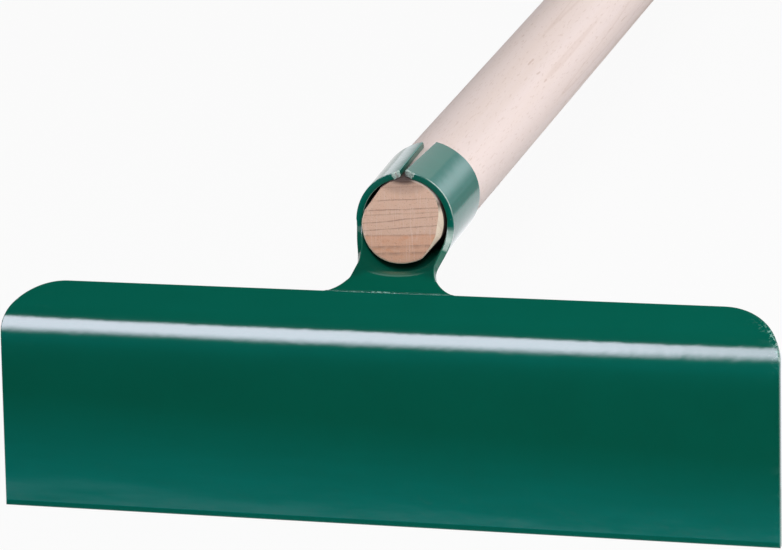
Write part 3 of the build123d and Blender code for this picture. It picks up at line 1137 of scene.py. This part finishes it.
def weld_run(middle, across_way, out_way, half_length, width, height, sink, ripple, ripple_height):
    """Points and faces of one closed run of weld, lens shaped across and tapered at both ends."""
    around = 20
    steps = parts(220)
    points = []
    for step in steps:
        part = 2.0 * step - 1.0
        along = part * half_length
        taper = math.sqrt(max(1.0 - abs(part) ** 6, 0.0004))
        for turn in range(around):
            side = math.cos(2 * math.pi * turn / around)
            lift = math.sin(2 * math.pi * turn / around)
            uneven = noise.noise(Vector((along * 260.0, side * 0.7, height * 900.0)))
            wave = math.sin(2 * math.pi * (along + 0.9 * MM * side * side + 0.4 * MM * uneven) / ripple)
            rise = height * (1.0 + ripple_height * wave + 0.12 * uneven) if lift > 0.0 else sink
            reach = width / 2 * (1.0 + 0.05 * wave + 0.10 * uneven)
            points.append(
                middle + Vector((along, 0.0, 0.0)) + across_way * reach * side * taper
                + out_way * rise * lift * taper)
    faces = [(face[0], *face[:0:-1]) for face in tube_faces(len(steps), around)]
    return points, faces


class SCRAPER_OT_weld(bpy.types.Operator):
    """Weld between the blade and the socket, rippled behind the joint and ground flush at the front"""
    bl_idname = "scraper.weld"
    bl_label = "Weld"

    def execute(self, context):
        settings = context.scene.scraper
        shape = ToolShape(settings)
        weld = settings.weld
        foot_half = shape.trough_half(0.0)
        bead, bead_faces = weld_run(
            shape.band_top + shape.band_back * shape.sheet, -shape.band_way, shape.band_back,
            foot_half - weld.end_margin, weld.bead_width, weld.bead_height,
            sink=0.6 * MM, ripple=weld.ripple, ripple_height=0.16)
        ground, ground_faces = weld_run(
            shape.band_top, shape.band_way, -shape.band_back,
            foot_half - 0.5 * MM, weld.ground_width, weld.ground_height,
            sink=0.5 * MM, ripple=weld.ripple, ripple_height=0.1)
        points = bead + ground
        faces = bead_faces + [tuple(len(bead) + corner for corner in face) for face in ground_faces]
        unmarked = [0.0] * len(bead)
        brightest = [bell((point.x + 5.0 * MM) / (8.0 * MM)) for point in ground]
        piece = new_piece(
            "weld_runs", points, faces, shape.laid, [paint_material("weld green paint", settings.finish)],
            place=points, edge=[1.0 * MM] * len(bead) + [0.1 * MM] * len(ground), wear=[0.1] * len(points),
            scuff=unmarked + [2.6 + 1.4 * part for part in brightest],
            nicks=unmarked + [0.15 + 0.35 * part for part in brightest])
        dress(piece, "green_paint", "weld_bead")
        return {"FINISHED"}


class HandleShape:
    """Rings of points along the handle, from the middle of its sawn end to the middle of its far end.

    Turns go round the handle: 0 is its right side and a quarter turn is its top.
    """
    bevel_turn = math.radians(-8.0)
    bevel_spread = math.radians(28.0)
    frayed_turn = math.radians(230.0)
    touching_turn = math.radians(52.0)
    bulge_spread = math.radians(35.0)

    def __init__(self, shape):
        self.shape = shape
        self.handle = shape.handle
        shallow = self.handle.facet_distance + 1.2 * MM
        self.flats = (
            (math.radians(-41.0), self.handle.chamfer_distance), (math.radians(122.0), shallow),
            (math.radians(144.0), self.handle.facet_distance), (math.radians(165.0), shallow))
        self.turns = [2 * math.pi * index / AROUND for index in range(AROUND)]
        self.outer = [self.end_radius(turn) for turn in self.turns]
        self.bevels = [self.bevel_width(turn) for turn in self.turns]
        self.way = turned(self.handle.pitch)
        self.up = turned(self.handle.pitch + QUARTER)
        self.start = Vector((0.0, shape.end, shape.axis_height(shape.end)))
        self.straight = self.handle.full_length - self.handle.end_rounding

    def end_radius(self, turn):
        """Distance of the sawn end's outline from its middle: round, bulging in two places, with flats."""
        handle = self.handle
        radius = 1.0 / math.hypot(
            math.cos(turn) / handle.end_half_width, math.sin(turn) / handle.end_half_height)
        for bulge_turn, bulge in ((self.touching_turn, 0.5 * MM), (self.frayed_turn, 0.9 * MM)):
            radius += bulge * bell(math.remainder(turn - bulge_turn, 2 * math.pi) / self.bulge_spread)
        for flat_turn, distance in self.flats:
            radius = min(radius, distance / max(math.cos(turn - flat_turn), 0.01))
        return radius

    def whittled(self, turn):
        """1 in the middle of the whittled crescent at the right of the sawn end."""
        return bell(math.remainder(turn - self.bevel_turn, 2 * math.pi) / self.bevel_spread)

    def bevel_width(self, turn):
        """Width of the bevel round the sawn end."""
        frayed = smooth_step(math.cos(turn - self.frayed_turn), 0.2, 0.7)
        return (0.25 + 0.3 * frayed + 2.3 * self.whittled(turn)) * MM

    def touching(self, turn):
        """How much less painted shade the wood gets where it touches the socket."""
        return 0.5 * smooth_step(math.cos(turn - self.touching_turn), 0.88, 0.96)

    def bevel_stain(self, turn):
        """Painted shade on the bevel, away from the whittled, lower and frayed wood and from where the wood
        touches the socket.
        """
        cut = smooth_step(self.whittled(turn), 0.15, 0.6)
        below = smooth_step(-math.sin(turn), 0.1, 0.6)
        frayed = smooth_step(math.cos(turn - self.frayed_turn), 0.2, 0.6)
        return 1.0 - max(cut, below, frayed, self.touching(turn))

    def tenon_stain(self, depth):
        """Painted shade on the wood inside the socket, fading out towards its back."""
        collar = self.shape.socket.collar_length
        return 1.0 - smooth_step(depth, 0.25 * collar, 0.88 * collar)

    def grip_stain(self, turn, depth):
        """Faint painted shade on the handle above the socket, less at the right."""
        above = depth - self.shape.socket.collar_length
        return 0.13 * (1.0 - smooth_step(above, 0.0, 0.45)) * (1.0 - smooth_step(math.cos(turn), 0.55, 1.0))

    def upright_ring(self, distance, widths, heights, lift, shift=0.0):
        """Ring that stands upright at a distance back."""
        middle = self.shape.axis_height(distance) + lift
        return [
            Vector((width * math.cos(turn) - shift, distance, middle + height * math.sin(turn)))
            for turn, width, height in zip(self.turns, widths, heights)]

    def sawn_ring(self, radii, setbacks):
        """Ring of the slanting sawn end, each point set back from it."""
        handle = self.handle
        ring = self.upright_ring(self.shape.end, radii, radii, handle.end_lift, handle.end_shift)
        middle = self.start.z + handle.end_lift
        for point, setback in zip(ring, setbacks):
            upward = (point.z - middle) / handle.end_half_height
            rightward = (point.x + handle.end_shift) / handle.end_half_width
            slant = (handle.end_lean * upward + handle.end_skew * rightward) / 2
            point.y += setback + slant - handle.end_reach
        return ring

    def face_rings(self):
        flush = [0.0] * AROUND
        inner = [radius - bevel for radius, bevel in zip(self.outer, self.bevels)]
        parts = (0.04, 0.2, 0.4, 0.6, 0.78, 0.9, 0.97)
        return [self.sawn_ring([part * radius for radius in inner], flush) for part in parts]

    def bevel_rings(self):
        rings = []
        for part in (0.0, 0.06, 0.3, 0.65, 0.94, 1.0):
            radii = [radius - bevel * (1.0 - part) for radius, bevel in zip(self.outer, self.bevels)]
            rings.append(self.sawn_ring(radii, [bevel * 0.75 * part ** 1.25 for bevel in self.bevels]))
        return rings

    def tenon_rings(self):
        """Rings along the shaved tenon."""
        shape, handle = self.shape, self.handle
        rings = []
        for part in parts(6)[1:]:
            shaved = min(1.6 * part, 1.0)
            widths = [between(radius, shape.tenon_half_width, shaved) for radius in self.outer]
            heights = [between(radius, shape.tenon_half_height, shaved) for radius in self.outer]
            distance = between(shape.end + 4.5 * MM, shape.back, part)
            lift = between(handle.end_lift, shape.tenon_lift, part)
            rings.append(self.upright_ring(distance, widths, heights, lift, handle.end_shift * (1.0 - part)))
        return rings

    def shoulder_rings(self):
        """Rings from the tenon to the full handle."""
        shape, handle = self.shape, self.handle
        rings = []
        for part in parts(8)[1:]:
            grown = smooth_step(part, 0.0, 1.0)
            widths = [between(shape.tenon_half_width, handle.radius, grown)] * AROUND
            heights = [between(shape.tenon_half_height, shape.half_height, grown)] * AROUND
            distance = shape.back + handle.shoulder_length * part
            rings.append(self.upright_ring(distance, widths, heights, shape.tenon_lift * (1.0 - grown)))
        return rings

    def square_ring(self, along, radius, lean=0.0):
        """Ring square to the handle, or upright with a lean of 1."""
        ring = []
        for turn in self.turns:
            shift = lean * radius * math.tan(self.handle.pitch) * math.sin(turn)
            middle = self.start + self.way * (along + shift)
            aside = Vector((radius * math.cos(turn), 0.0, 0.0))
            ring.append(middle + aside + self.up * radius * math.sin(turn))
        return ring

    def stick_rings(self):
        """Rings along the full handle, upright at first."""
        handle = self.handle
        shoulder = (self.shape.back + handle.shoulder_length - self.shape.end) / math.cos(handle.pitch)
        rings = []
        for part in parts(60)[1:]:
            along = between(shoulder, self.straight, part)
            rings.append(self.square_ring(along, handle.radius, max(0.0, 1.0 - 4.0 * part)))
        return rings

    def far_rings(self):
        """Rings round the edge of the far end and over its flat."""
        handle = self.handle
        rings = []
        for part in parts(9)[1:]:
            turn = QUARTER * part
            radius = handle.radius - handle.end_rounding * (1.0 - math.cos(turn))
            rings.append(self.square_ring(self.straight + handle.end_rounding * math.sin(turn), radius))
        inner = handle.radius - handle.end_rounding
        return rings + [self.square_ring(handle.full_length, inner * part) for part in (0.7, 0.35, 0.05)]


class SCRAPER_OT_handle(bpy.types.Operator):
    """Beech handle with a shaved tenon, a sawn end in the socket and a rounded far end"""
    bl_idname = "scraper.handle"
    bl_label = "Handle"

    def execute(self, context):
        settings = context.scene.scraper
        shape = ToolShape(settings)
        wood = HandleShape(shape)
        face, bevel, far = wood.face_rings(), wood.bevel_rings(), wood.far_rings()
        rings = face + bevel + wood.tenon_rings() + wood.shoulder_rings() + wood.stick_rings() + far
        bevel_start = len(face)
        bevel_end = bevel_start + len(bevel) - 1
        # The far end shows end grain from the fourth ring of its rounding on.
        far_grain = len(rings) - len(far) + 3
        planed, sawn, whittled = range(3)
        finishes = [sawn]
        for ring in range(len(rings) - 1):
            surface = planed
            if ring < bevel_start or ring >= far_grain:
                surface = sawn
            elif ring < bevel_end:
                surface = whittled
            finishes += [surface] * AROUND
        finishes.append(sawn)
        points = [point for ring in rings for point in ring]
        place, stain = [], []
        for index, point in enumerate(points):
            offset = point - wood.start
            place.append(Vector((offset.x, offset.dot(wood.up), offset.dot(wood.way))))
            ring = index // AROUND
            turn = wood.turns[index % AROUND]
            depth = point.y - shape.end
            # Painted shade: none on the sawn end, on the bevel away from its whittled, lower and frayed
            # parts, inside the socket, and faint on the handle above it.
            if ring < bevel_start:
                stain.append(0.0)
            elif ring < bevel_end:
                stain.append(wood.bevel_stain(turn))
            elif ring == bevel_end:
                stain.append(wood.tenon_stain(depth) * (1.0 - wood.touching(turn)))
            else:
                stain.append(max(wood.tenon_stain(depth), wood.grip_stain(turn, depth)))
        finish = settings.finish
        materials = [
            beech_material("planed beech", finish, finish.beech, finish.beech_warm),
            end_grain_material("sawn beech end", finish),
            beech_material("whittled beech", finish, finish.beech_cut, finish.beech_cut)]
        piece = new_piece(
            "beech_handle", points, tube_faces(len(rings), AROUND), shape.laid, materials, finishes=finishes,
            place=place, stain=stain)
        dress(piece, "beech", "handle")
        return {"FINISHED"}


class SCRAPER_OT_screw(bpy.types.Operator):
    """Zinc plating for the screw that holds the handle in the socket"""
    bl_idname = "scraper.screw"
    bl_label = "Fixing screw"

    def execute(self, context):
        screw = frame["nodes"]["fixing_screw"]
        screw.data.materials.clear()
        screw.data.materials.append(zinc_material("zinc plating", context.scene.scraper.finish))
        return {"FINISHED"}


def panel_mesh(name, width, depth):
    """Flat panel for the stage, facing up."""
    mesh = bpy.data.meshes.new(name)
    cells = bmesh.new()
    bmesh.ops.create_grid(cells, x_segments=4, y_segments=4, size=0.5)
    bmesh.ops.scale(cells, vec=(width, depth, 1.0), verts=cells.verts)
    cells.to_mesh(mesh)
    cells.free()
    return mesh


class SCRAPER_OT_stage(bpy.types.Operator):
    """Pale floor, soft studio light and the camera"""
    bl_idname = "scraper.stage"
    bl_label = "Stage"

    def execute(self, context):
        scene = context.scene
        settings = scene.scraper
        stage = settings.stage
        scene.view_settings.view_transform = "Standard"
        self.add_camera(scene, stage)
        self.add_floor(scene, settings.finish)
        self.add_flags(scene)
        self.add_softbox(scene, stage)
        self.add_edge_panel(scene, stage)
        self.add_back_panel(scene, stage)
        self.add_lip_panel(scene)
        self.add_card(scene)
        self.add_lamp(scene, "key", (0.65, -0.68, 1.42), stage.key_power)
        self.add_lamp(scene, "back", (1.44, 0.60, 0.68), stage.back_power)
        self.add_surroundings(scene, stage)
        return {"FINISHED"}

    @staticmethod
    def seen_directly(nodes):
        """1 for what the camera, a mirror or a pane shows, 0 for light that falls on something."""
        kinds = ("Is Camera Ray", "Is Glossy Ray", "Is Transmission Ray")
        first, second, third = [nodes.add("ShaderNodeLightPath", output=kind) for kind in kinds]
        return nodes.add("ShaderNodeClamp", None, {"Value": first + second + third})

    def add_camera(self, scene, stage):
        camera = bpy.data.objects.new("camera", bpy.data.cameras.new("camera"))
        camera.data.lens = stage.focal_length
        camera.location = stage.camera_place
        camera.rotation_euler = Euler(stage.camera_turn)
        scene.collection.objects.link(camera)
        scene.camera = camera

    def add_floor(self, scene, finish):
        material, nodes = new_material("pale floor")
        pale = nodes.add("ShaderNodeBsdfDiffuse", None, {"Color": (*finish.floor, 1.0)})
        white = nodes.add("ShaderNodeEmission", None, {"Color": (1.0, 1.0, 1.0, 1.0), "Strength": 1.0})
        shown = 0.93 * self.seen_directly(nodes)
        mixed = nodes.add("ShaderNodeMixShader", None, {0: shown, 1: pale, 2: white})
        nodes.add("ShaderNodeOutputMaterial", None, {"Surface": mixed})
        mesh = panel_mesh("floor", 40.0, 40.0)
        mesh.materials.append(material)
        floor = bpy.data.objects.new("floor", mesh)
        floor.location.z = -0.2 * MM
        scene.collection.objects.link(floor)

    def add_panel(self, scene, name, width, depth, place, turn, material):
        """Panel that the camera doesn't see and that only glossy surfaces mirror."""
        panel = bpy.data.objects.new(name, panel_mesh(name, width, depth))
        panel.data.materials.append(material)
        panel.location = place
        panel.rotation_euler = turn
        panel.visible_camera = False
        panel.visible_diffuse = False
        panel.visible_shadow = False
        scene.collection.objects.link(panel)

    def add_glow(self, scene, name, brightness, width, depth, place, turn, tint):
        """Bright panel. brightness is a function of the nodes and of the panel's own X and Y."""
        material, nodes = new_material(name.replace("_", " ") + " cloth")
        spot = nodes.add("ShaderNodeTexCoord", output="Object")
        front = 1.0 - nodes.add("ShaderNodeNewGeometry", output="Backfacing")
        strength = front * brightness(nodes, nodes.split(spot, "X"), nodes.split(spot, "Y"))
        glow = nodes.add("ShaderNodeEmission", None, {"Color": (*tint, 1.0), "Strength": strength})
        nodes.add("ShaderNodeOutputMaterial", None, {"Surface": glow})
        self.add_panel(scene, name, width, depth, place, turn, material)

    @staticmethod
    def facing(place, height):
        """Turn of a panel that faces a point at a height above the origin."""
        return (Vector((0.0, 0.0, height)) - Vector(place)).to_track_quat("Z", "Y").to_euler()

    def add_flags(self, scene):
        """Dark panels in front of the tool, above it and at its left."""
        material, nodes = new_material("dark felt")
        weave = nodes.grain(nodes.add("ShaderNodeTexCoord", output="Object"), 400.0)
        felt = nodes.tinted(weave, (0.004, 0.004, 0.004), (0.009, 0.009, 0.009))
        finished(nodes, {"Base Color": felt, "Roughness": 0.95})
        slant = math.radians(-18.0)
        for name, width, depth, place, turn in (
                ("low_flag", 3.2, 0.9, (-0.70, -2.12, 0.45), (QUARTER, 0.0, slant)),
                ("floor_flag", 3.2, 1.9, (-0.40, -1.18, 1.0 * MM), (0.0, 0.0, slant)),
                ("over_flag", 2.6, 1.9, (-0.1, -0.05, 1.75), (0.0, 0.0, 0.0)),
                ("left_flag", 1.2, 0.9, (-1.2, 0.1, 0.55), (QUARTER, 0.0, QUARTER))):
            self.add_panel(scene, name, width, depth, place, turn, material)

    def add_softbox(self, scene, stage):
        """Bright panel that the blade's bend mirrors, fading out towards its upper and lower edge."""
        def brightness(nodes, across, height):
            flare = 0.10 * nodes.ramp(across, -0.36, -0.42) + 0.13 * nodes.ramp(across, 0.12, 0.26)
            ends = 0.14 * nodes.ramp(across, -0.20, -0.30) + 0.09 * nodes.ramp(across, 0.08, 0.24)
            fade = nodes.ramp(height + 0.04 - ends, -0.62, -0.05) * nodes.ramp(height - flare, 0.51, 0.31)
            return fade * (1.0 - 0.2 * nodes.ramp(across, -0.22, -0.36)) * stage.softbox_strength

        aim = Vector((0.350, 0.718, -0.602))
        roll = Matrix.Rotation(math.radians(22.0), 3, "Z")
        flip = Matrix.Rotation(math.pi, 3, "Y")
        turn = aim.to_track_quat("-Z", "Y").to_matrix() @ roll
        place = Vector((-0.560, -1.148, 1.043)) + turn @ Vector((0.0, -0.05, 0.0))
        self.add_glow(
            scene, "softbox", brightness, width=0.95, depth=1.24, place=place, turn=(turn @ flip).to_euler(),
            tint=(0.89, 0.855, 1.0))

    def add_edge_panel(self, scene, stage):
        """Bright panel at the right, which the socket's sheared edges mirror."""
        def brightness(nodes, across, height):
            fade = nodes.ramp(across * across, 0.5, 0.02) * nodes.ramp(height * height, 0.5, 0.02)
            return fade * stage.edge_strength

        place = (1.13, -0.73, 1.28)
        self.add_glow(
            scene, "edge_panel", brightness, width=1.5, depth=1.5, place=place, turn=self.facing(place, 0.0),
            tint=(1.0, 1.0, 1.0))

    def add_back_panel(self, scene, stage):
        """Panel standing behind the tool, which the collar mirrors: grey below, bright in the middle."""
        half = 0.4
        low, streak, high = 0.76, stage.streak_strength, 0.8

        def brightness(nodes, across, height):
            rising = nodes.ramp(height, 0.08 - half, 0.45 - half)
            falling = nodes.ramp(height, 0.48 - half, 0.76 - half)
            return low + (streak - low) * rising - (streak - high) * falling

        place = (0.63, 1.46, half)
        self.add_glow(
            scene, "back_panel", brightness, width=0.8, depth=2 * half, place=place,
            turn=self.facing(place, half), tint=(0.88, 0.93, 1.0))

    def add_lip_panel(self, scene):
        """Panel standing far behind the tool at the left, which the seam's left lip mirrors."""
        def brightness(nodes, across, height):
            return 1.0 + 0.6 * nodes.ramp(across * across, 0.16, 0.06) * nodes.ramp(height, 0.25, 0.0)

        place = (-0.92, 1.78, 0.25)
        self.add_glow(
            scene, "lip_panel", brightness, width=0.9, depth=0.5, place=place,
            turn=self.facing(place, place[2]), tint=(0.97, 0.96, 1.0))

    def add_card(self, scene):
        """Grey card on the floor, pale at one corner, which the right side of the collar mirrors."""
        def brightness(nodes, across, height):
            return 0.5 + 0.79 * nodes.ramp(across, 0.05, -0.21) * nodes.ramp(height, -0.20, -0.32)

        self.add_glow(
            scene, "card", brightness, width=1.0, depth=1.3, place=(0.45, 0.70, 1.0 * MM),
            turn=(0.0, 0.0, 0.0), tint=(0.97, 0.97, 1.0))

    def add_lamp(self, scene, name, place, watts):
        """Square soft lamp that shines at the tool and isn't mirrored."""
        lamp = bpy.data.lights.new(name, "AREA")
        lamp.size = 0.8
        lamp.energy = watts
        soft = bpy.data.objects.new(name, lamp)
        soft.location = place
        soft.rotation_euler = (-soft.location).to_track_quat("-Z", "Y").to_euler()
        soft.visible_camera = False
        soft.visible_glossy = False
        scene.collection.objects.link(soft)

    def add_surroundings(self, scene, stage):
        """Pale room: it shows white and throws light on the tool, more from the right and above."""
        world = bpy.data.worlds.new("pale room")
        world.use_nodes = True
        nodes = Nodes(world.node_tree)
        direction = nodes.add("ShaderNodeTexCoord", output="Generated")
        rightward = nodes.split(direction, "X")
        upward = nodes.split(direction, "Z")
        light = stage.surroundings * (1.0 + 0.5 * rightward + 0.3 * upward)
        strength = light + (1.0 - light) * self.seen_directly(nodes)
        room = nodes.add("ShaderNodeBackground", None, {"Color": (1.0, 1.0, 1.0, 1.0), "Strength": strength})
        nodes.add("ShaderNodeOutputWorld", None, {"Surface": room})
        scene.world = world


PIECES = (
    SCRAPER_OT_blade, SCRAPER_OT_socket, SCRAPER_OT_weld, SCRAPER_OT_handle, SCRAPER_OT_screw,
    SCRAPER_OT_stage)


class SCRAPER_PT_pieces(bpy.types.Panel):
    """Pieces of the scraper and their settings"""
    bl_label = "Manure scraper"
    bl_space_type = "VIEW_3D"
    bl_region_type = "UI"
    bl_category = "Scraper"

    def draw(self, context):
        settings = context.scene.scraper
        for piece in PIECES:
            self.layout.operator(piece.bl_idname)
        for name in ("blade", "socket", "handle", "weld", "finish", "stage"):
            group = getattr(settings, name)
            box = self.layout.box()
            box.label(text=name.capitalize())
            for setting in group.__annotations__:
                box.prop(group, setting)


CLASSES = (
    BladeSettings, SocketSettings, HandleSettings, WeldSettings, FinishSettings, StageSettings,
    ScraperSettings, *PIECES, SCRAPER_PT_pieces)


def register():
    for kind in CLASSES:
        bpy.utils.register_class(kind)
    bpy.types.Scene.scraper = PointerProperty(type=ScraperSettings)


def unregister():
    del bpy.types.Scene.scraper
    for kind in reversed(CLASSES):
        bpy.utils.unregister_class(kind)


def main():
    register()
    bpy.ops.scraper.blade()
    bpy.ops.scraper.socket()
    bpy.ops.scraper.weld()
    bpy.ops.scraper.handle()
    bpy.ops.scraper.screw()
    bpy.ops.scraper.stage()


if __name__ == "__main__":
    main()
